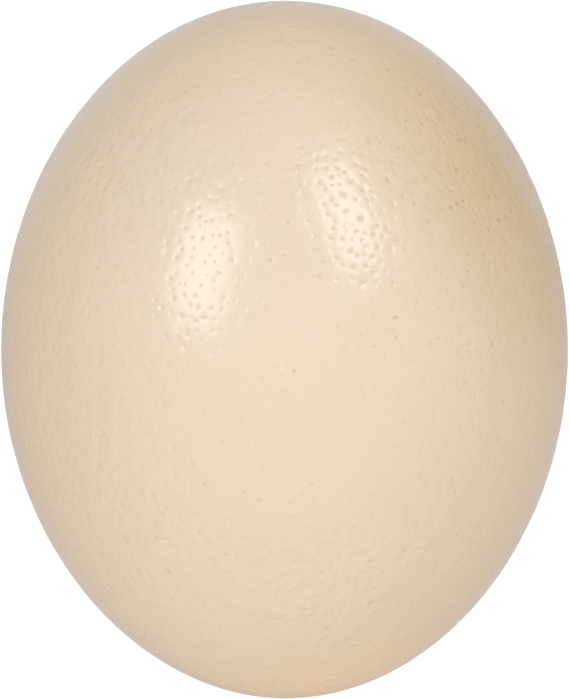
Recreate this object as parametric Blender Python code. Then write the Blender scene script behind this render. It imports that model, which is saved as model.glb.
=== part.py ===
"""A whole ostrich egg, lying on its side on a small flat resting spot.

The egg is one closed solid. Its long axis runs along Y with the blunter end at +Y, Z points up, and
the origin is the middle of the resting spot underneath. All values are in metres.
"""

import math

import bmesh
import bpy
from mathutils import Vector

# Driving dimensions
EGG_LENGTH = 0.156  # pole to pole
EGG_WIDTH = 0.1267  # across the middle
REST_DEPTH = 0.0006  # how much the resting spot takes off the round underside

# Departures of the outline from a plain ellipse
POLE_SLIMMING = 0.018  # both ends are this share slimmer than an ellipse's
END_DIFFERENCE = 0.014  # the +Y end is fuller, and the -Y end slimmer, by this share
AXIS_BOW = 0.00033  # both poles lie this far towards +X of a straight axis

# Fineness of the faceted solid
OUTLINE_STEPS = 46  # from pole to pole
TURN_STEPS = 72  # round the long axis
WELD_DISTANCE = 1e-6

SHELL_CREAM = (0.80, 0.68, 0.49, 1.0)
SHELL_ROUGHNESS = 0.32


def clear_scene():
    for old in list(bpy.data.objects):
        bpy.data.objects.remove(old)


def half_width(along):
    """The egg's radius at a place on its long axis, from -1 at the -Y pole to 1 at the +Y pole."""
    ellipse = math.sqrt(max(0.0, 1.0 - along**2))
    ends = 1.0 - POLE_SLIMMING * along**2 + END_DIFFERENCE * along**3
    return EGG_WIDTH / 2 * ellipse * ends


def outline():
    """Points of the half outline from the -Y pole to the +Y pole, evenly spread round the ellipse."""
    points = []
    for step in range(OUTLINE_STEPS + 1):
        along = -math.cos(math.pi * step / OUTLINE_STEPS)
        points.append(Vector((half_width(along), EGG_LENGTH / 2 * along, 0.0)))
    return points


def turn_outline(mesh):
    """Spins the half outline once round the long axis into a closed skin."""
    corners = [mesh.verts.new(point) for point in outline()]
    edges = [mesh.edges.new(pair) for pair in zip(corners, corners[1:])]
    bmesh.ops.spin(
        mesh,
        geom=corners + edges,
        cent=(0.0, 0.0, 0.0),
        axis=(0.0, 1.0, 0.0),
        angle=math.tau,
        steps=TURN_STEPS,
        use_merge=True,
    )
    bmesh.ops.remove_doubles(mesh, verts=mesh.verts, dist=WELD_DISTANCE)


def bow_axis(mesh):
    """Bends the long axis, and lifts the egg so that the resting plane is at z = 0."""
    lift = EGG_WIDTH / 2 - REST_DEPTH
    for corner in mesh.verts:
        along = corner.co.y / (EGG_LENGTH / 2)
        corner.co += Vector((AXIS_BOW * along**2, 0.0, lift))


def cut_resting_spot(mesh):
    """Takes off what lies below z = 0 and closes the opening with one flat face."""
    cut = bmesh.ops.bisect_plane(
        mesh,
        geom=mesh.verts[:] + mesh.edges[:] + mesh.faces[:],
        plane_co=(0.0, 0.0, 0.0),
        plane_no=(0.0, 0.0, 1.0),
        dist=WELD_DISTANCE,
        clear_inner=True,
    )
    rim = [item for item in cut["geom_cut"] if isinstance(item, bmesh.types.BMEdge)]
    bmesh.ops.contextual_create(mesh, geom=rim)
    bmesh.ops.recalc_face_normals(mesh, faces=mesh.faces)


def shell_material():
    material = bpy.data.materials.new("shell")
    material.use_nodes = True
    surface = material.node_tree.nodes["Principled BSDF"]
    surface.inputs["Base Color"].default_value = SHELL_CREAM
    surface.inputs["Roughness"].default_value = SHELL_ROUGHNESS
    surface.inputs["Metallic"].default_value = 0.0
    return material


def build_egg():
    mesh = bmesh.new()
    turn_outline(mesh)
    bow_axis(mesh)
    cut_resting_spot(mesh)
    data = bpy.data.meshes.new("egg")
    mesh.to_mesh(data)
    mesh.free()
    data.materials.append(shell_material())
    data.shade_smooth()
    data.set_sharp_from_angle(angle=math.radians(6))
    egg = bpy.data.objects.new("egg", data)
    bpy.context.scene.collection.objects.link(egg)


clear_scene()
build_egg()
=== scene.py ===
import math

import bpy
import numpy as np
from mathutils import Matrix, Vector, kdtree, noise
from mathutils.geometry import delaunay_2d_cdt


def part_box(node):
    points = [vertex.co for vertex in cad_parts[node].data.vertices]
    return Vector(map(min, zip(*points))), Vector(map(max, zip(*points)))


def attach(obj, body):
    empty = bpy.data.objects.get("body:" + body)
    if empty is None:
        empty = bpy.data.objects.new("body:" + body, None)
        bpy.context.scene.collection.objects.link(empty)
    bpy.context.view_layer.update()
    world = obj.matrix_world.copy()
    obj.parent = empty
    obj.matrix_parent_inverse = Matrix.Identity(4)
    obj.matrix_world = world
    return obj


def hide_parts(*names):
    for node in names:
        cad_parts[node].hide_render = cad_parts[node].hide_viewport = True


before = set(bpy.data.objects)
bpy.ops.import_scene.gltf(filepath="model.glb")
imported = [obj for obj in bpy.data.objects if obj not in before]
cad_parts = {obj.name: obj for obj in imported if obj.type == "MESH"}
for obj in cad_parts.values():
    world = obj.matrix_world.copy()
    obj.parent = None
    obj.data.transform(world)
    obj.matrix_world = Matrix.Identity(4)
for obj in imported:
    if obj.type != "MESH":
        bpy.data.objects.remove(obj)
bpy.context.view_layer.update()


# ---------------------------------------------------------------------------------------------
# The shell: a whole ostrich egg, grown as one closed, glossy cream shell. Thousands of pore pits
# cover it, most of them a fine pore at the bottom of a shallow dimple. It lies on its side, on the
# small flat resting spot of the frame's egg.
# ---------------------------------------------------------------------------------------------

MM = 0.001

egg_low, egg_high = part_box("egg")
half_length = (egg_high.y - egg_low.y) / 2
half_width = (egg_high.x - egg_low.x) / 2
middle_height = egg_high.z - half_width
POLE_SLIMMING = 0.018  # both ends are this share slimmer than an ellipse's
END_DIFFERENCE = 0.014  # the +Y end is fuller, and the -Y end slimmer, by this share
AXIS_BOW = 0.33 * MM  # both poles lie this far towards +X of a straight axis

SEED = 1282
dice = np.random.default_rng(SEED)


def girth_at(along):
    """The egg's radius at a place on its long axis, from -1 at the -Y pole to 1 at the +Y pole."""
    return half_width * (1 - POLE_SLIMMING * along**2 + END_DIFFERENCE * along**3)


def shell_point(direction):
    """Where each direction from the egg's middle meets its smooth outer form."""
    along = direction[..., 1]
    girth = girth_at(along)
    return np.stack(
        (
            girth * direction[..., 0] + AXIS_BOW * along**2,
            half_length * along,
            girth * direction[..., 2] + middle_height,
        ),
        axis=-1,
    )


def shell_direction(point):
    """The direction from the egg's middle that belongs to each point on or near the shell."""
    along = np.clip(point[..., 1] / half_length, -1, 1)
    girth = girth_at(along)
    direction = np.stack(
        (
            (point[..., 0] - AXIS_BOW * along**2) / girth,
            along,
            (point[..., 2] - middle_height) / girth,
        ),
        axis=-1,
    )
    return direction / np.linalg.norm(direction, axis=-1, keepdims=True)


def outward(direction):
    """The shell's outward normal at each direction from the egg's middle."""
    along = direction[..., 1]
    girth = girth_at(along)
    taper = half_width * (-2 * POLE_SLIMMING * along + 3 * END_DIFFERENCE * along**2) / half_length
    around = direction[..., 0] ** 2 + direction[..., 2] ** 2
    bend = 2 * AXIS_BOW * along / half_length
    normal = np.stack(
        (
            direction[..., 0] / girth,
            along / half_length - around * taper / girth - direction[..., 0] * bend / girth,
            direction[..., 2] / girth,
        ),
        axis=-1,
    )
    return normal / np.linalg.norm(normal, axis=-1, keepdims=True)


def random_directions(count):
    """Directions from the egg's middle that are evenly spread over the shell's area."""
    tries = dice.normal(size=(2 * count, 3))
    tries /= np.linalg.norm(tries, axis=1, keepdims=True)
    semi_axes = np.array((half_width, half_length, half_width))
    stretch = np.linalg.norm(tries / semi_axes, axis=1) * semi_axes.min()
    return tries[dice.random(len(tries)) < stretch][:count]


VIEW_DISTANCE = 0.90  # from the camera to the egg's middle, straight below it

# The pores that stand out most, read off as the camera above sees them: x and y in mm on the
# level of the egg's middle, and the pore's radius in mm. First those in the two highlights.
right_pores = (
    (12.5, 44.4, 0.36), (15.4, 44.4, 0.38), (9.1, 43.3, 0.45), (7.2, 42.9, 0.47), (21.1, 42.9, 0.40),
    (11.5, 42.8, 0.32), (16.2, 41.6, 0.42), (3.0, 41.3, 0.45), (9.2, 40.8, 0.38), (11.9, 40.8, 0.45),
    (18.1, 40.7, 0.40), (7.0, 40.5, 0.34), (13.6, 39.9, 0.30), (3.0, 39.0, 0.36), (17.6, 39.0, 0.40),
    (10.5, 38.8, 0.47), (15.2, 37.9, 0.53), (7.6, 37.5, 0.49), (12.4, 37.1, 0.34), (5.3, 37.1, 0.36),
    (10.5, 36.9, 0.30), (8.9, 35.9, 0.30), (17.6, 35.9, 0.59), (13.1, 34.8, 0.55), (19.9, 33.9, 0.42),
    (16.0, 33.8, 0.49), (18.6, 33.7, 0.36), (10.4, 33.5, 0.47), (24.3, 32.8, 0.45), (8.8, 32.5, 0.40),
    (11.5, 32.4, 0.34), (21.9, 31.3, 0.32), (13.7, 31.0, 0.57), (9.6, 30.3, 0.49), (19.9, 30.2, 0.30),
    (17.3, 29.4, 0.61), (5.3, 28.8, 0.42), (11.1, 28.6, 0.36), (21.0, 27.8, 0.36), (22.9, 27.6, 0.42),
    (13.2, 27.5, 0.30), (10.8, 27.1, 0.42), (13.7, 26.5, 0.32), (16.1, 26.5, 0.38), (18.2, 26.1, 0.36),
    (20.0, 25.8, 0.47), (22.2, 25.3, 0.42), (10.1, 25.0, 0.45), (12.9, 24.7, 0.45), (25.4, 24.6, 0.47),
    (17.4, 24.5, 0.36), (18.5, 23.1, 0.45), (21.0, 22.9, 0.45), (23.8, 22.6, 0.45), (14.7, 21.9, 0.45),
    (18.0, 21.2, 0.36), (16.3, 20.9, 0.40), (19.6, 20.7, 0.40), (11.5, 20.5, 0.38), (18.2, 18.7, 0.51),
    (15.3, 18.4, 0.53), (20.1, 17.3, 0.42), (11.9, 15.8, 0.38), (17.6, 15.1, 0.55), (24.2, 14.9, 0.47),
)
left_pores = (
    (-19.1, 32.2, 0.29), (-19.1, 29.9, 0.29), (-16.3, 29.0, 0.34), (-17.7, 28.8, 0.34),
    (-22.4, 27.4, 0.29), (-12.7, 26.3, 0.34), (-14.3, 25.8, 0.29), (-16.0, 25.6, 0.31),
    (-20.7, 25.3, 0.31), (-18.5, 25.0, 0.36), (-23.7, 24.5, 0.38), (-12.4, 24.0, 0.40),
    (-15.5, 22.9, 0.29), (-20.4, 22.8, 0.28), (-23.2, 22.6, 0.29), (-16.7, 21.2, 0.24),
    (-24.2, 20.6, 0.43), (-11.7, 20.2, 0.46), (-15.6, 19.7, 0.34), (-17.8, 19.6, 0.34),
    (-22.1, 19.0, 0.24), (-20.8, 17.3, 0.29), (-14.5, 17.2, 0.36), (-24.4, 17.2, 0.29),
    (-17.3, 16.7, 0.24), (-15.6, 15.5, 0.31), (-23.7, 14.9, 0.24), (-22.4, 14.6, 0.24),
    (-18.7, 14.3, 0.41), (-22.6, 12.2, 0.38), (-24.8, 11.5, 0.33), (-13.7, 11.4, 0.38),
    (-19.2, 9.4, 0.40), (-16.2, 9.3, 0.40), (-14.0, 8.9, 0.36), (-23.1, 7.5, 0.46), (-18.0, 7.1, 0.34),
    (-20.0, 6.4, 0.38), (-16.0, 4.2, 0.31), (-19.7, 4.1, 0.29),
)
# The brown ones elsewhere, with how brown each one is.
brown_pores = (
    (2.1, -4.8, 0.34, 0.9), (-9.1, -31.9, 0.30, 0.5), (-17.8, -38.4, 0.28, 0.5),
    (-28.8, -42.2, 0.28, 0.5), (38.8, 32.7, 0.36, 0.9), (48.1, 29.0, 0.40, 1.0), (45.9, 26.6, 0.32, 1.0),
    (42.8, 28.4, 0.34, 0.8), (32.1, 51.7, 0.36, 0.6), (31.8, 38.5, 0.36, 0.5), (37.4, 35.6, 0.32, 0.6),
    (6.6, -33.5, 0.30, 0.4),
)
LIGHT_STAIN = 0.3  # of the pores in the highlights
SETTLING_ROUNDS = 8


def direction_under(x, y):
    """The direction of the place on the shell that the camera sees at x and y."""
    along = 0.0
    upward = 1.0
    for _ in range(SETTLING_ROUNDS):
        shrink = 1 - girth_at(along) * upward / VIEW_DISTANCE
        along = y * MM * shrink / half_length
        sideways = (x * MM * shrink - AXIS_BOW * along**2) / girth_at(along)
        upward = math.sqrt(1 - along**2 - sideways**2)
    return np.array((sideways, along, upward))


PORE_COUNT = 5600
PORE_TRIES = 50000
PORE_RADIUS = 0.30 * MM  # the middle one of the random sizes
PORE_SPREAD = 0.32
SMALLEST_PORE = 0.20 * MM
LARGEST_PORE = 0.56 * MM
DIMPLE_MARGIN = 0.56 * MM
DIMPLE_GROWTH = 1.25  # how much wider the dimple is where the pore is wider
SHARE_OF_GAP = 0.49  # a dimple stays short of halfway to the next pore
PINPRICK_COUNT = 2600
PINPRICK_TRIES = 30000
SMALLEST_PINPRICK = 0.13 * MM
LARGEST_PINPRICK = 0.21 * MM
PINPRICK_LIP = 1.35  # its ring's radius, in pore radii
PINPRICK_MARGIN = 0.18 * MM
LOWEST_PORE = 0.9 * MM  # above the resting spot
CELL = 2.7 * MM  # the pits are sorted by place into cells of this size

BROWNED_SIDE = (49 * MM, 42 * MM, 80 * MM)  # where the shell is tan and its pores are brownest
BROWNED_REACH = 48 * MM
STAIN_RARITY = 4.6  # the higher it is, the fewer pores are much stained
RARITY_DROP = 3.0  # on the browned side
STAIN_STRENGTH = 0.45
STRENGTH_RISE = 0.67  # on the browned side

crowd = {}


def cell_of(place, size):
    return tuple(int(math.floor(number / size)) for number in place)


def has_room(place, reach):
    """Whether a new pit would stay clear of every pit that is there already."""
    i, j, k = cell_of(place, CELL)
    for a in (i - 1, i, i + 1):
        for b in (j - 1, j, j + 1):
            for c in (k - 1, k, k + 1):
                for other, other_reach in crowd.get((a, b, c), ()):
                    if (other - place).length < other_reach + reach:
                        return False
    return True


def dimple_radius(pore_radius):
    return DIMPLE_MARGIN + DIMPLE_GROWTH * pore_radius


pore_directions = []
pore_radii = []
pore_stains = []
pore_reaches = []


def add_pore(direction, place, radius, stain, reach):
    crowd.setdefault(cell_of(place, CELL), []).append((place, reach))
    pore_directions.append(direction)
    pore_radii.append(radius)
    pore_stains.append(stain)
    pore_reaches.append(reach)


seen_pores = [(*pore, LIGHT_STAIN) for pore in right_pores + left_pores] + list(brown_pores)
seen_directions = [direction_under(x, y) for x, y, _, _ in seen_pores]
seen_places = shell_point(np.array(seen_directions))
apart = np.linalg.norm(seen_places[:, None] - seen_places[None], axis=-1)
np.fill_diagonal(apart, 1.0)
widest = SHARE_OF_GAP * apart.min(axis=1)
for (_, _, radius, stain), direction, place, limit in zip(
    seen_pores, seen_directions, seen_places, widest
):
    reach = min(dimple_radius(radius * MM), limit)
    add_pore(direction, Vector(place), radius * MM, stain, reach)


def scatter_pores(until, radii, reaches):
    """Adds pores at random places that have room for them, until there are so many."""
    tries = random_directions(len(radii))
    places = shell_point(tries)
    from_browned = np.linalg.norm(places - np.array(BROWNED_SIDE), axis=1)
    browned = np.exp(-((from_browned / BROWNED_REACH) ** 2))
    rarity = STAIN_RARITY - RARITY_DROP * browned
    strength = STAIN_STRENGTH + STRENGTH_RISE * browned
    stains = strength * dice.random(len(tries)) ** rarity
    for direction, place, radius, stain, reach in zip(tries, places, radii, stains, reaches):
        if len(pore_radii) >= until:
            break
        if place[2] > LOWEST_PORE and has_room(Vector(place), reach):
            add_pore(direction, Vector(place), radius, stain, reach)


tried_radii = PORE_RADIUS * np.exp(PORE_SPREAD * dice.normal(size=PORE_TRIES))
tried_radii = np.clip(tried_radii, SMALLEST_PORE, LARGEST_PORE)
scatter_pores(PORE_COUNT, tried_radii, dimple_radius(tried_radii))
dimpled = len(pore_radii)
tried_radii = dice.uniform(SMALLEST_PINPRICK, LARGEST_PINPRICK, PINPRICK_TRIES)
pinprick_reaches = PINPRICK_LIP * tried_radii + PINPRICK_MARGIN
scatter_pores(dimpled + PINPRICK_COUNT, tried_radii, pinprick_reaches)

pore_directions = np.array(pore_directions)
pore_radii = np.array(pore_radii)
pore_stains = np.array(pore_stains)
dimple_radii = np.array(pore_reaches)
pore_total = len(pore_radii)

# Where the relief is livelier than elsewhere, or calmer: x, y, z and reach in mm, and by how much.
relief_spots = (
    (1, -12, 125, 20, -0.80), (-36, 36, 100, 30, 0.60), (-52, -4, 96, 26, 0.15),
    (0, 66, 88, 26, 0.15), (44, 40, 92, 28, 1.10), (2, -44, 114, 26, 0.85),
    (-32, -34, 108, 24, 0.95), (32, -38, 108, 22, -0.10), (-2, 27, 121, 11, 0.75),
    (-19, 33, 117, 9, 0.65), (-19, 4, 123, 9, 0.65), (-19, 19, 120, 14, -0.55),
)


def liveliness(points):
    """How strong the shell's relief is at each point. It is 1 on most of the shell."""
    total = np.ones(len(points))
    for x, y, z, reach, gain in relief_spots:
        away = np.linalg.norm(points - np.array((x, y, z)) * MM, axis=1)
        total += gain * np.exp(-((away / (reach * MM)) ** 2))
    return total


# Each pit is a centre and a ring at the pore's lip. All but the pinpricks also have a ring at
# their dimple's edge.
LIP_POINTS = 5
EDGE_POINTS = 6
PINPRICK_POINTS = 4
LIP = 1.25  # the lip ring's radius, in pore radii
EDGE = 0.97  # the edge ring's radius, in dimple radii
LIP_UNEVENNESS = 0.07
EDGE_UNEVENNESS = 0.05
TURN_UNEVENNESS = 0.16
OVALNESS = 0.13
OFF_AXIS = (0.31, 0.87, 0.38)  # a direction that no pore faces

DIMPLE_DEPTH = 0.062 * MM  # of a dimple with this radius:
TYPICAL_DIMPLE = 0.9 * MM
CALM_SHARE = 0.45  # of the dimple's depth, wherever it is
LIVELY_SHARE = 0.45  # and this much more for each step of liveliness
PORE_DEPTH = 0.29  # in pore radii
DIMPLE_AT_LIP = 0.60  # how much of the dimple's depth is reached at the pore's lip
PORE_AT_LIP = 0.12  # and of the pore's own depth
DIMPLE_AT_EDGE = 0.05
PINPRICK_AT_LIP = 0.08
FAR = 4.0  # stands for "well outside any pore"

pore_places = shell_point(pore_directions)
pore_normals = outward(pore_directions)
cross_way = np.cross(pore_normals, np.array(OFF_AXIS))
cross_way /= np.linalg.norm(cross_way, axis=1, keepdims=True)
other_way = np.cross(pore_normals, cross_way)
oval = np.exp(np.abs(dice.normal(0, OVALNESS, pore_total)))
oval_turn = dice.uniform(0, math.tau, pore_total)
first_turn = dice.uniform(0, math.tau, pore_total)
dimple_depths = DIMPLE_DEPTH * (dimple_radii / TYPICAL_DIMPLE) * dice.uniform(0.5, 1.5, pore_total)
dimple_depths *= CALM_SHARE + LIVELY_SHARE * liveliness(pore_places)
dimple_depths[dimpled:] = 0.0
pore_depths = PORE_DEPTH * pore_radii * dice.uniform(0.7, 1.3, pore_total)


def ring_round_pores(chosen, radii, count, turn, unevenness):
    """A ring of points round each chosen pore, and the same points counted in pore radii."""
    angle = (first_turn[chosen] + turn)[:, None] + np.arange(count) * math.tau / count
    angle = angle + dice.uniform(-TURN_UNEVENNESS, TURN_UNEVENNESS, angle.shape)
    reach = radii[chosen][:, None] * (1 + dice.uniform(-unevenness, unevenness, angle.shape))
    u = reach * np.cos(angle)
    v = reach * np.sin(angle)
    flat_u = u * oval[chosen][:, None]
    flat_v = v / oval[chosen][:, None]
    cosine = np.cos(oval_turn[chosen])[:, None]
    sine = np.sin(oval_turn[chosen])[:, None]
    across = flat_u * cosine - flat_v * sine
    up = flat_u * sine + flat_v * cosine
    points = (
        pore_places[chosen][:, None, :]
        + across[..., None] * cross_way[chosen][:, None, :]
        + up[..., None] * other_way[chosen][:, None, :]
    )
    marks = np.stack((u, v), axis=-1) / pore_radii[chosen][:, None, None]
    return shell_direction(points).reshape(-1, 3), marks.reshape(-1, 2)


with_dimple = np.arange(dimpled)
pinpricks = np.arange(dimpled, pore_total)
lip_directions, lip_marks = ring_round_pores(
    with_dimple, LIP * pore_radii, LIP_POINTS, 0.0, LIP_UNEVENNESS
)
edge_directions, edge_marks = ring_round_pores(
    with_dimple, EDGE * dimple_radii, EDGE_POINTS, math.pi / EDGE_POINTS, EDGE_UNEVENNESS
)
prick_directions, prick_marks = ring_round_pores(
    pinpricks, PINPRICK_LIP * pore_radii, PINPRICK_POINTS, 0.0, EDGE_UNEVENNESS
)

pit_directions = np.concatenate(
    (pore_directions, lip_directions, edge_directions, prick_directions)
)
lip_depths = DIMPLE_AT_LIP * dimple_depths[:dimpled] + PORE_AT_LIP * pore_depths[:dimpled]
pit_heights = -np.concatenate(
    (
        dimple_depths + pore_depths,
        np.repeat(lip_depths, LIP_POINTS),
        np.repeat(DIMPLE_AT_EDGE * dimple_depths[:dimpled], EDGE_POINTS),
        np.repeat(PINPRICK_AT_LIP * pore_depths[dimpled:], PINPRICK_POINTS),
    )
)
# The finish reads from these marks how far each point is from its pore's middle, in pore radii.
pit_marks = np.concatenate(
    (
        np.zeros((pore_total, 3)),
        np.column_stack((lip_marks, np.zeros(len(lip_marks)))),
        np.column_stack((edge_marks, np.full(len(edge_marks), FAR))),
        np.column_stack((prick_marks, np.zeros(len(prick_marks)))),
    )
)
pit_stains = np.concatenate(
    (
        pore_stains,
        np.repeat(pore_stains[:dimpled], LIP_POINTS),
        np.repeat(pore_stains[:dimpled], EDGE_POINTS),
        np.repeat(pore_stains[dimpled:], PINPRICK_POINTS),
    )
)

# Points between the pits, to keep the net of faces even.
PLAIN_TRIES = 90000
GAP = 0.72 * MM  # from the nearest point of a pit
PLAIN_CELL = 1.0 * MM  # from one another
LOWEST_PLAIN = 0.25 * MM  # above the resting spot
pit_places = shell_point(pit_directions)
tree_of_pits = kdtree.KDTree(len(pit_places))
for index, place in enumerate(pit_places):
    tree_of_pits.insert(place, index)
tree_of_pits.balance()

between = []
between_cells = {}
for direction in random_directions(PLAIN_TRIES):
    place = Vector(shell_point(direction))
    if place.z < LOWEST_PLAIN or tree_of_pits.find(place)[2] < GAP:
        continue
    i, j, k = cell_of(place, PLAIN_CELL)
    near = [
        other
        for a in (i - 1, i, i + 1)
        for b in (j - 1, j, j + 1)
        for c in (k - 1, k, k + 1)
        for other in between_cells.get((a, b, c), ())
    ]
    if any((other - place).length < PLAIN_CELL for other in near):
        continue
    between_cells.setdefault((i, j, k), []).append(place)
    between.append(direction)
between = np.array(between)

# The rim of the resting spot, where the round underside meets z = 0.
RIM_STEPS = 72
RIM_HALVINGS = 40
PAST_THE_RIM = 0.6  # in radians from straight down
rim_turn = np.arange(RIM_STEPS) * math.tau / RIM_STEPS
lower = np.zeros(RIM_STEPS)
upper = np.full(RIM_STEPS, PAST_THE_RIM)
for _ in range(RIM_HALVINGS):
    slope = (lower + upper) / 2
    rim = np.stack(
        (np.sin(slope) * np.cos(rim_turn), np.sin(slope) * np.sin(rim_turn), -np.cos(slope)),
        axis=-1,
    )
    below = shell_point(rim)[:, 2] < 0
    lower = np.where(below, slope, lower)
    upper = np.where(below, upper, slope)

LOWEST_PIT = 0.12 * MM  # above the resting spot
keep_pits = pit_places[:, 2] > LOWEST_PIT
directions = np.concatenate((pit_directions[keep_pits], between, rim))
heights = np.concatenate((pit_heights[keep_pits], np.zeros(len(between) + RIM_STEPS)))
plain_marks = np.tile((0.0, 0.0, FAR), (len(between) + RIM_STEPS, 1))
marks = np.concatenate((pit_marks[keep_pits], plain_marks))
stains = np.concatenate((pit_stains[keep_pits], np.zeros(len(between) + RIM_STEPS)))

# The broad unevenness of the shell, its fine relief and the low wrinkles towards the -Y end. All of
# it fades out just above the resting spot.
WRINKLE_MIDDLE = -40 * MM
WRINKLE_REACH = 30 * MM
FADE_HEIGHT = 1.5 * MM
places = shell_point(directions)
lively = liveliness(places)


def swell(size, depth, shift=0.0, stretch=(1, 1, 1)):
    """Smooth unevenness about `size` across and up to `depth` high. Each shift gives another pattern."""
    scaled = places / size / np.array(stretch) + shift
    return depth * np.array([noise.noise(Vector(place)) for place in scaled])


wrinkled = np.exp(-(((places[:, 1] - WRINKLE_MIDDLE) / WRINKLE_REACH) ** 2))
fine_relief = (
    swell(size=3.6 * MM, depth=0.024 * MM, shift=9.1)
    + swell(size=2.1 * MM, depth=0.022 * MM, shift=3.9)
    + swell(size=1.35 * MM, depth=0.012 * MM, shift=7.7)
    + wrinkled * swell(size=2.2 * MM, depth=0.020 * MM, shift=2.7, stretch=(2.6, 1, 2.6))
)
heights = (
    heights
    + swell(size=22 * MM, depth=0.070 * MM)
    + swell(size=7 * MM, depth=0.036 * MM, shift=5.3)
    + lively * fine_relief
)
fade = np.clip(places[:, 2] / FADE_HEIGHT, 0, 1)
heights *= fade * fade * (3 - 2 * fade)
points = places + outward(directions) * heights[:, None]
points[-RIM_STEPS:, 2] = 0.0

# Seen from the underside, the net of faces unrolls flat with the rim round its outside.
unrolled = directions[:, :2] / (1 + directions[:, 2:3])
SAME_SPOT = 1e-9
triangles = delaunay_2d_cdt([Vector(spot) for spot in unrolled], [], [], 0, SAME_SPOT)
faces = np.array(triangles[2], dtype=np.int64)
source_of = np.array([origin[0] for origin in triangles[3]], dtype=np.int64)
faces = source_of[faces]

# The flat resting spot closes the underside, and every face is turned to look outwards.
rim_first = len(points) - RIM_STEPS
spot_middle = len(points)
points = np.vstack((points, (0.0, 0.0, 0.0)))
marks = np.vstack((marks, (0.0, 0.0, FAR)))
stains = np.append(stains, 0.0)
lively = np.append(lively, 1.0)
rim_index = rim_first + np.arange(RIM_STEPS)
spot_faces = np.column_stack(
    (np.full(RIM_STEPS, spot_middle), np.roll(rim_index, -1), rim_index)
)
corners = points[faces]
facing = np.einsum(
    "ij,ij->i",
    np.cross(corners[:, 1] - corners[:, 0], corners[:, 2] - corners[:, 0]),
    corners.mean(axis=1) - (0, 0, middle_height),
)
faces[facing < 0] = faces[facing < 0][:, ::-1]
faces = np.concatenate((faces, spot_faces))

shell_mesh = bpy.data.meshes.new("pitted_shell")
shell_mesh.from_pydata(points.tolist(), [], faces.tolist())
shell_mesh.validate()
shell_mesh.shade_smooth()
pore_mark = shell_mesh.attributes.new("pore_mark", "FLOAT_VECTOR", "POINT")
pore_mark.data.foreach_set("vector", marks.astype(np.float32).ravel())
pore_stain = shell_mesh.attributes.new("pore_stain", "FLOAT", "POINT")
pore_stain.data.foreach_set("value", stains.astype(np.float32))
relief_strength = shell_mesh.attributes.new("relief_strength", "FLOAT", "POINT")
relief_strength.data.foreach_set("value", lively.astype(np.float32))

shell = bpy.data.objects.new("pitted_shell", shell_mesh)
bpy.context.scene.collection.objects.link(shell)

# The shell's finish: a chalky shell under a thin glossy skin, with a faint pale bloom that shows
# where the shell turns away. The skin is mostly missing inside the pores. Its colour also carries
# painted warm bounce light at the -Y end and painted shade in the pore cores.
CREAM = (0.836, 0.714, 0.500, 1.0)
PALE_CREAM = (0.856, 0.743, 0.538, 1.0)
TAN = (0.706, 0.548, 0.300, 1.0)
# Painted warm bounce light, used round the -Y end.
PAINTED_BOUNCE_PEACH = (1.0, 0.753, 0.445, 1.0)
BLOOM_WHITE = (0.930, 0.900, 1.0, 1.0)
SCRATCH_PALE = (0.950, 0.830, 0.640, 1.0)
PORE_BROWN = (0.420, 0.280, 0.125, 1.0)
CHALK_IOR = 1.5
CHALK_SHINE = 0.25
SKIN_IOR = 1.72
SKIN_ROUGHNESS = 0.17
BLOOM = 0.75
BLOOM_ROUGHNESS = 0.3

finish = bpy.data.materials.new("glossy_cream_shell")
finish.use_nodes = True
tree = finish.node_tree
surface = tree.nodes["Principled BSDF"]
surface.inputs["IOR"].default_value = CHALK_IOR
surface.inputs["Specular IOR Level"].default_value = CHALK_SHINE
surface.inputs["Coat Roughness"].default_value = SKIN_ROUGHNESS
surface.inputs["Coat IOR"].default_value = SKIN_IOR
surface.inputs["Sheen Weight"].default_value = BLOOM
surface.inputs["Sheen Roughness"].default_value = BLOOM_ROUGHNESS
surface.inputs["Sheen Tint"].default_value = BLOOM_WHITE


def node(kind, settings=(), values=(), wires=()):
    """A shader node with its settings, its socket values and the sockets wired into it."""
    made = tree.nodes.new(kind)
    for name, value in dict(settings).items():
        setattr(made, name, value)
    for socket, value in dict(values).items():
        made.inputs[socket].default_value = value
    for socket, source in dict(wires).items():
        tree.links.new(source, made.inputs[socket])
    return made


def maths(operation, first, second=None):
    """One arithmetic step, where each side is a number or a socket."""
    made = tree.nodes.new("ShaderNodeMath")
    made.operation = operation
    for place, side in enumerate((first, second)):
        if side is None:
            continue
        if isinstance(side, (int, float)):
            made.inputs[place].default_value = side
        else:
            tree.links.new(side, made.inputs[place])
    return made.outputs[0]


def remap(value, low, high, to_low=0.0, to_high=1.0):
    """A soft step from to_low at low to to_high at high."""
    made = node(
        "ShaderNodeMapRange",
        {"interpolation_type": "SMOOTHSTEP"},
        {1: low, 2: high, 3: to_low, 4: to_high},
        {0: value},
    )
    return made.outputs[0]


def blend_colours(share, first, second):
    """Goes from the first colour to the second by share. Each colour is a socket or four numbers."""
    made = tree.nodes.new("ShaderNodeMix")
    made.data_type = "RGBA"
    tree.links.new(share, made.inputs[0])
    for place, colour in ((6, first), (7, second)):
        if isinstance(colour, tuple):
            made.inputs[place].default_value = colour
        else:
            tree.links.new(colour, made.inputs[place])
    return made.outputs[2]


CLOUD_ROUGHNESS = 0.55
place_on_egg = node("ShaderNodeTexCoord").outputs["Object"]


def mottle(size, detail=2.0):
    """Cloudy marks about `size` across, from 0 to 1."""
    made = node(
        "ShaderNodeTexNoise",
        {"noise_dimensions": "3D"},
        {"Scale": 1 / size, "Detail": detail, "Roughness": CLOUD_ROUGHNESS},
        {"Vector": place_on_egg},
    )
    return made.outputs[0]


pore_distance = node(
    "ShaderNodeVectorMath",
    {"operation": "LENGTH"},
    wires={0: node("ShaderNodeAttribute", {"attribute_name": "pore_mark"}).outputs["Vector"]},
).outputs["Value"]
stain_amount = node("ShaderNodeAttribute", {"attribute_name": "pore_stain"}).outputs["Fac"]

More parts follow.
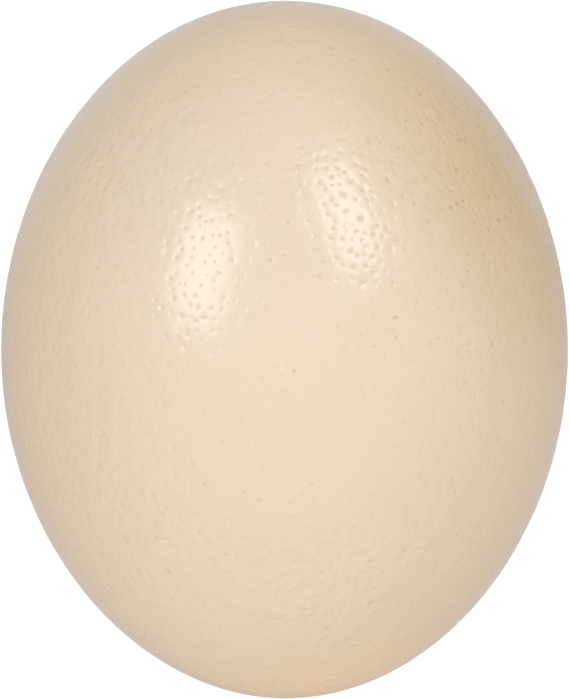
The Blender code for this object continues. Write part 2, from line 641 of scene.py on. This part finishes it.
# The pore itself and the stain round it, each from its outer edge inwards, in pore radii.
pore_core = remap(pore_distance, 1.08, 0.75)
pore_halo = remap(pore_distance, 2.1, 0.9)


def distance_from(place):
    """How far each place on the shell is from the one given."""
    made = node(
        "ShaderNodeVectorMath", {"operation": "DISTANCE"}, {1: place}, {0: place_on_egg}
    )
    return made.outputs["Value"]


def cloudy_patch(place, outer, inner, cloud, raggedness):
    """1 round the place given and 0 far from it. The clouds make the edge between ragged."""
    ragged = maths("MULTIPLY", cloud, raggedness)
    return remap(maths("ADD", distance_from(place), ragged), outer, inner)


PALE_PLACE = (-2 * MM, 25 * MM, 122 * MM)  # where the shell is palest
# Painted warm bounce light: the -Y end is tinted peach, strongest at its tip.
PAINTED_BOUNCE_PLACE = (11 * MM, -80 * MM, 57 * MM)  # the middle of the peach -Y end
TANNED_PLACE = (0, 82 * MM, 62 * MM)  # the middle of the slightly tanned +Y end
TANNED_REACH = 42 * MM
BROWNED_TAN = 0.80  # how tan each part becomes
FLECK_TAN = 0.06
HIGH_END_TAN = 0.13

paleness = cloudy_patch(
    PALE_PLACE,
    outer=88 * MM,
    inner=32 * MM,
    cloud=mottle(38 * MM),
    raggedness=30 * MM,
)
cream = blend_colours(paleness, CREAM, PALE_CREAM)
browned = cloudy_patch(
    BROWNED_SIDE,
    outer=73 * MM,
    inner=25 * MM,
    cloud=mottle(26 * MM, detail=3.0),
    raggedness=24 * MM,
)
cream = blend_colours(maths("MULTIPLY", browned, BROWNED_TAN), cream, TAN)
flecks = remap(mottle(1.6 * MM, detail=3.0), 0.40, 0.75)
cream = blend_colours(maths("MULTIPLY", flecks, FLECK_TAN), cream, TAN)
# Painted warm bounce light: the shell turns peach towards the -Y end.
painted_bounce = cloudy_patch(
    PAINTED_BOUNCE_PLACE,
    outer=56 * MM,
    inner=20 * MM,
    cloud=mottle(20 * MM, detail=3.0),
    raggedness=16 * MM,
)
cream = blend_colours(painted_bounce, cream, PAINTED_BOUNCE_PEACH)
high_end = remap(distance_from(TANNED_PLACE), TANNED_REACH, 0.25 * TANNED_REACH)
cream = blend_colours(maths("MULTIPLY", high_end, HIGH_END_TAN), cream, TAN)

# Two fine pale scratches, as the camera sees them: x and y in mm on the level of the egg's middle.
SCRATCH_WIDTH = 0.34 * MM
SCRATCH_STRENGTH = 0.36
OUT_OF_REACH = 1.0
scratches = (
    ((20.0, -7.7), (26.7, -5.1), (32.7, -2.1), (38.8, 1.7), (42.6, 4.1)),
    ((13.5, -42.7), (12.4, -50.9)),
)


def distance_from_line(start, end):
    """How far each place on the shell is from the straight line between two others."""
    along = end - start
    offset = node(
        "ShaderNodeVectorMath", {"operation": "SUBTRACT"}, {1: start}, {0: place_on_egg}
    ).outputs[0]
    share = node(
        "ShaderNodeVectorMath",
        {"operation": "DOT_PRODUCT"},
        {1: along / along.dot(along)},
        {0: offset},
    ).outputs["Value"]
    share = maths("MINIMUM", maths("MAXIMUM", share, 0.0), 1.0)
    nearest = node("ShaderNodeVectorMath", {"operation": "SCALE"}, {0: along}, {"Scale": share})
    made = node(
        "ShaderNodeVectorMath",
        {"operation": "DISTANCE"},
        wires={0: nearest.outputs[0], 1: offset},
    )
    return made.outputs["Value"]


from_scratch = OUT_OF_REACH
for path in scratches:
    ends = [Vector(shell_point(direction_under(x, y))) for x, y in path]
    for start, end in zip(ends, ends[1:]):
        from_scratch = maths("MINIMUM", distance_from_line(start, end), from_scratch)
scratched = remap(from_scratch, 0.75 * SCRATCH_WIDTH, 0.2 * SCRATCH_WIDTH, 0.0, SCRATCH_STRENGTH)
broken = remap(mottle(2.6 * MM), 0.35, 0.60, 0.35, 1.0)  # each scratch is fainter in places
cream = blend_colours(maths("MULTIPLY", scratched, broken), cream, SCRATCH_PALE)

# Brown gathers in and round the stained pores, and every pore core also gets painted shade, a little
# darker than the shell.
HALO_BROWN = 0.07
CORE_BROWN = 0.36
# Painted shade in the pits: every pore core is darkened this much, stained or not.
PAINTED_PORE_SHADE = 0.06
halo_tint = maths("MULTIPLY", pore_halo, maths("MULTIPLY", stain_amount, HALO_BROWN))
cream = blend_colours(halo_tint, cream, PORE_BROWN)
# The pore core's real stain plus its painted shade.
stain_and_painted_shade = maths("ADD", maths("MULTIPLY", stain_amount, CORE_BROWN), PAINTED_PORE_SHADE)
cream = blend_colours(maths("MULTIPLY", pore_core, stain_and_painted_shade), cream, PORE_BROWN)
tree.links.new(cream, surface.inputs["Base Color"])

SMOOTH_CHALK = 0.48
ROUGH_CHALK = 0.58
SKIN_LOST = 0.68  # of the glossy skin, inside a pore
chalk_roughness = remap(mottle(9 * MM, detail=3.0), 0.3, 0.7, SMOOTH_CHALK, ROUGH_CHALK)
tree.links.new(chalk_roughness, surface.inputs["Roughness"])
skin_left = maths("SUBTRACT", 1.0, maths("MULTIPLY", pore_core, SKIN_LOST))
tree.links.new(skin_left, surface.inputs["Coat Weight"])

# A fine ripple, stronger where the relief is lively, and an even finer grain.
RIPPLE_SIZE = 2.4 * MM
RIPPLE_HEIGHT = 0.29 * MM
GRAIN_SIZE = 0.45 * MM
GRAIN_HEIGHT = 0.0022 * MM
ripple_share = node("ShaderNodeAttribute", {"attribute_name": "relief_strength"}).outputs["Fac"]
ripple_share = remap(ripple_share, 0.2, 2.2, 0.0, 1.8)
ripple = maths("MULTIPLY", mottle(RIPPLE_SIZE, detail=1.0), RIPPLE_HEIGHT)
grain = maths("MULTIPLY", mottle(GRAIN_SIZE, detail=3.0), GRAIN_HEIGHT)
grain = maths("ADD", maths("MULTIPLY", ripple_share, ripple), grain)
grain_bump = node(
    "ShaderNodeBump",
    values={"Strength": 1.0, "Distance": 1.0},
    wires={"Height": grain},
)
tree.links.new(grain_bump.outputs[0], surface.inputs["Normal"])

shell.data.materials.append(finish)
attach(shell, "root")
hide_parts("egg")


# ---------------------------------------------------------------------------------------------
# The floor: a plain pale tabletop under the egg, wide enough to fill the views from all sides. It
# isn't part of the egg.
# ---------------------------------------------------------------------------------------------

FLOOR_HALF = 2.5
FLOOR_DROP = 0.1 * MM  # keeps it clear of the resting spot

floor_mesh = bpy.data.meshes.new("floor")
floor_mesh.from_pydata(
    [
        (-FLOOR_HALF, -FLOOR_HALF, -FLOOR_DROP),
        (FLOOR_HALF, -FLOOR_HALF, -FLOOR_DROP),
        (FLOOR_HALF, FLOOR_HALF, -FLOOR_DROP),
        (-FLOOR_HALF, FLOOR_HALF, -FLOOR_DROP),
    ],
    [],
    [(0, 1, 2, 3)],
)
floor = bpy.data.objects.new("floor", floor_mesh)
bpy.context.scene.collection.objects.link(floor)

# The floor is white to the eye, and sends only a little warm light back up to the egg.
FLOOR_WARM = (0.514, 0.453, 0.360, 1.0)
FLOOR_ROUGHNESS = 0.9
FLOOR_GLOW = 0.75
WHITE = (1.0, 1.0, 1.0, 1.0)

floor_finish = bpy.data.materials.new("pale_floor")
floor_finish.use_nodes = True
tree = floor_finish.node_tree
floor_surface = tree.nodes["Principled BSDF"]
floor_surface.inputs["Base Color"].default_value = FLOOR_WARM
floor_surface.inputs["Roughness"].default_value = FLOOR_ROUGHNESS
floor_surface.inputs["Emission Color"].default_value = WHITE
seen_directly = node("ShaderNodeLightPath").outputs["Is Camera Ray"]
floor_glow = maths("MULTIPLY", seen_directly, FLOOR_GLOW)
tree.links.new(floor_glow, floor_surface.inputs["Emission Strength"])
floor.data.materials.append(floor_finish)


# ---------------------------------------------------------------------------------------------
# The light: two soft boxes above the +Y end make the two highlights on the shell. Wide reflectors
# overhead, on both sides and at the -Y end fill in, and an even room light comes from all round.
# ---------------------------------------------------------------------------------------------

BOX_WHITE = (0.904, 0.833, 1.0)
FILL_WHITE = (1.0, 0.914, 1.0)
OVER_WHITE = (1.0, 0.978, 0.945)
NEAR_WHITE = (0.952, 0.833, 1.0)
LOW_WARM = (1.0, 0.875, 0.890)
aim = Vector((0.0, 0.0, middle_height))


def soft_box(name, direction, up, distance, width, height, radiance, colour):
    """A flat soft light that faces the egg. Its power follows from its size and its radiance."""
    lamp = bpy.data.lights.new(name, "AREA")
    lamp.shape = "RECTANGLE"
    lamp.size = width
    lamp.size_y = height
    lamp.color = colour
    lamp.energy = radiance * math.pi * width * height
    box = bpy.data.objects.new(name, lamp)
    bpy.context.scene.collection.objects.link(box)
    facing = Vector(direction).normalized()
    across = Vector(up).cross(facing).normalized()
    box.location = aim + facing * distance
    box.rotation_euler = Matrix((across, facing.cross(across), facing)).transposed().to_euler()
    box.visible_camera = False
    return box


BOX_DISTANCE = 0.9
LEFT_WAY = (-0.511, 0.365, 0.778)
LEFT_UP = (0.319, 0.923, -0.216)
RIGHT_WAY = (0.396, 0.586, 0.705)
RIGHT_UP = (-0.478, 0.782, -0.400)
left_box = soft_box(
    "left_box",
    LEFT_WAY,
    LEFT_UP,
    BOX_DISTANCE,
    width=0.560,
    height=0.720,
    radiance=3.12,
    colour=BOX_WHITE,
)
right_box = soft_box(
    "right_box",
    RIGHT_WAY,
    RIGHT_UP,
    BOX_DISTANCE,
    width=0.472,
    height=0.710,
    radiance=3.28,
    colour=BOX_WHITE,
)

# The reflectors, with their direction from the egg, upright direction, width, height, radiance and
# colour. They are so wide and even that the gloss doesn't show them.
FILL_DISTANCE = 1.6
UPRIGHT = (0.0, 0.0, 1.0)
fills = (
    ("over_fill", (0.0, -0.02, 1.0), (0.0, 1.0, 0.0), 1.6, 1.6, 0.925, OVER_WHITE),
    ("near_fill", (0.0, -0.86, 0.50), UPRIGHT, 2.2, 1.4, 0.480, NEAR_WHITE),
    ("low_fill", (0.0, -0.98, 0.20), UPRIGHT, 2.2, 0.6, 1.080, LOW_WARM),
    ("right_fill", (0.80, 0.40, 0.45), UPRIGHT, 1.4, 1.2, 0.740, FILL_WHITE),
    ("left_fill", (-0.72, -0.62, 0.30), UPRIGHT, 1.4, 1.0, 0.540, FILL_WHITE),
)
for name, direction, up, width, height, radiance, colour in fills:
    fill = soft_box(name, direction, up, FILL_DISTANCE, width, height, radiance, colour)
    fill.visible_glossy = False

# A pale blue card lies on the floor under the +Y end. Only the gloss picks it up, as a pale rim.
CARD_BLUE = (0.40, 0.72, 1.0)
CARD_PLACE = (0.0, 85 * MM, 1 * MM)
DOWNWARDS = (0.0, 0.0, -1.0)
rim_card = soft_box(
    "rim_card",
    DOWNWARDS,
    (0.0, -1.0, 0.0),
    distance=0.0,
    width=0.30,
    height=0.15,
    radiance=0.20,
    colour=CARD_BLUE,
)
rim_card.location = CARD_PLACE
rim_card.visible_diffuse = False

# The boxes and the card are brightest in their middle and fade out towards their edges.
BOX_FADE = 0.23  # how wide the fading edge is
CARD_FADE = 0.05
for box, fade in ((left_box, BOX_FADE), (right_box, BOX_FADE), (rim_card, CARD_FADE)):
    box.data.use_nodes = True
    tree = box.data.node_tree
    place_on_lamp = node("ShaderNodeNewGeometry").outputs["Parametric"]
    place_on_lamp = node("ShaderNodeSeparateXYZ", wires={0: place_on_lamp})
    glow = 1.0
    for side, length in ((0, box.data.size), (1, box.data.size_y)):
        from_middle = maths("ABSOLUTE", maths("SUBTRACT", place_on_lamp.outputs[side], 0.5))
        glow = maths("MULTIPLY", remap(from_middle, 0.5, 0.5 - fade / length), glow)
    tree.links.new(glow, tree.nodes["Emission"].inputs["Strength"])

# The room lights the egg evenly. Past the floor's edge the camera sees plain white.
ROOM_LIGHT = (0.438, 0.434, 0.415, 1.0)

room = bpy.data.worlds.new("room")
bpy.context.scene.world = room
room.use_nodes = True
tree = room.node_tree
room_light = tree.nodes["Background"]
room_light.inputs["Color"].default_value = ROOM_LIGHT
backdrop = node("ShaderNodeBackground", values={"Color": WHITE})
seen_directly = node("ShaderNodeLightPath").outputs["Is Camera Ray"]
behind = node("ShaderNodeMixShader", wires={0: seen_directly})
tree.links.new(room_light.outputs[0], behind.inputs[1])
tree.links.new(backdrop.outputs[0], behind.inputs[2])
tree.links.new(behind.outputs[0], tree.nodes["World Output"].inputs["Surface"])

bpy.context.scene.view_settings.view_transform = "Standard"


# ---------------------------------------------------------------------------------------------
# The camera: straight above the egg, looking down on it, with the egg's +Y end at the top of the
# picture. Its long lens just frames the egg.
# ---------------------------------------------------------------------------------------------

LENS = 206.9  # in mm, as the sensor's width is
SENSOR_WIDTH = 36.0
NEAREST_SEEN = 0.05
FARTHEST_SEEN = 20.0

camera_data = bpy.data.cameras.new("camera")
camera_data.lens = LENS
camera_data.sensor_width = SENSOR_WIDTH
camera_data.clip_start = NEAREST_SEEN
camera_data.clip_end = FARTHEST_SEEN
camera = bpy.data.objects.new("camera", camera_data)
bpy.context.scene.collection.objects.link(camera)
camera.location = (0.0, 0.0, middle_height + VIEW_DISTANCE)
bpy.context.scene.camera = camera
